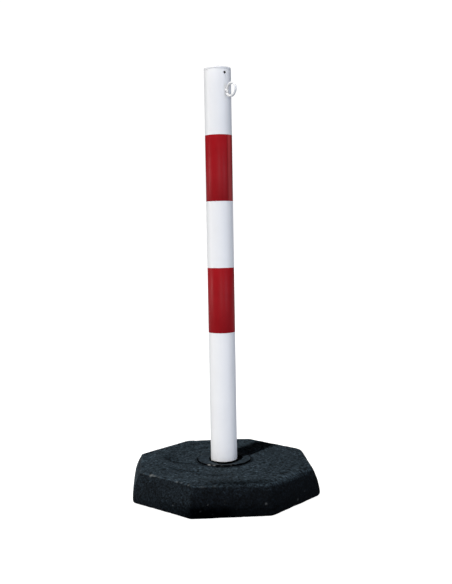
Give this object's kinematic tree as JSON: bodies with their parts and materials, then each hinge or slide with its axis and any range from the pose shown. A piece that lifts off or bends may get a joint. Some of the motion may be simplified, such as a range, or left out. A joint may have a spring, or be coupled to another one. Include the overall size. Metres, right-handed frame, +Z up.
{
  "type": "plastic chain stanchion",
  "caption": "Red and white banded plastic post in a heavy octagonal rubber base, with an open chain eye near its top and a pull-off cap.",
  "frame": {"origin": "centre of the octagonal base's underside, on the floor", "axes": "+Z up along the post; +X and +Y square to flats of the octagon; the chain eye points 54.5 degrees from +X towards -Y"},
  "size_m": [0.415, 0.415, 0.949],
  "materials": {
    "base_rubber": "moulded recycled rubber granulate, dull with a faint bluish bloom",
    "black_plastic": "fine satin moulding",
    "white_plastic": "extruded PVC, soft gloss",
    "white_eye_plastic": "moulded nylon, soft gloss",
    "red_film": "smooth adhesive film, soft gloss",
    "zinc_steel": "bright zinc plating"
  },
  "bodies": {
    "base": {"base_block": "base_rubber", "socket_collar": "black_plastic", "socket_ring": "black_plastic"},
    "foot": {"foot_plug": "black_plastic"},
    "post": {"post_tube": "white_plastic", "red_band_lower": "red_film", "red_band_upper": "red_film", "eye_saddle": "black_plastic"},
    "cap": {"top_cap": "white_plastic"},
    "eye": {"chain_eye": "white_eye_plastic", "eye_washer": "zinc_steel", "eye_nut": "zinc_steel"}
  },
  "joints": [
    {"name": "post_lift", "type": "slide", "parent": "base", "child": "foot", "axis": [0, 0, 1], "range_m": [0, 0.08]},
    {"name": "post_turn", "type": "hinge", "parent": "foot", "child": "post", "pos_m": [0, 0, 0.07], "axis": [0, 0, 1], "continuous": true},
    {"name": "cap_pull", "type": "slide", "parent": "post", "child": "cap", "axis": [0, 0, 1], "range_m": [0, 0.03]},
    {"name": "eye_swivel", "type": "hinge", "parent": "post", "child": "eye", "pos_m": [0.01742, -0.02442, 0.8967], "axis": [0.5807, -0.8141, 0], "continuous": true}
  ]
}
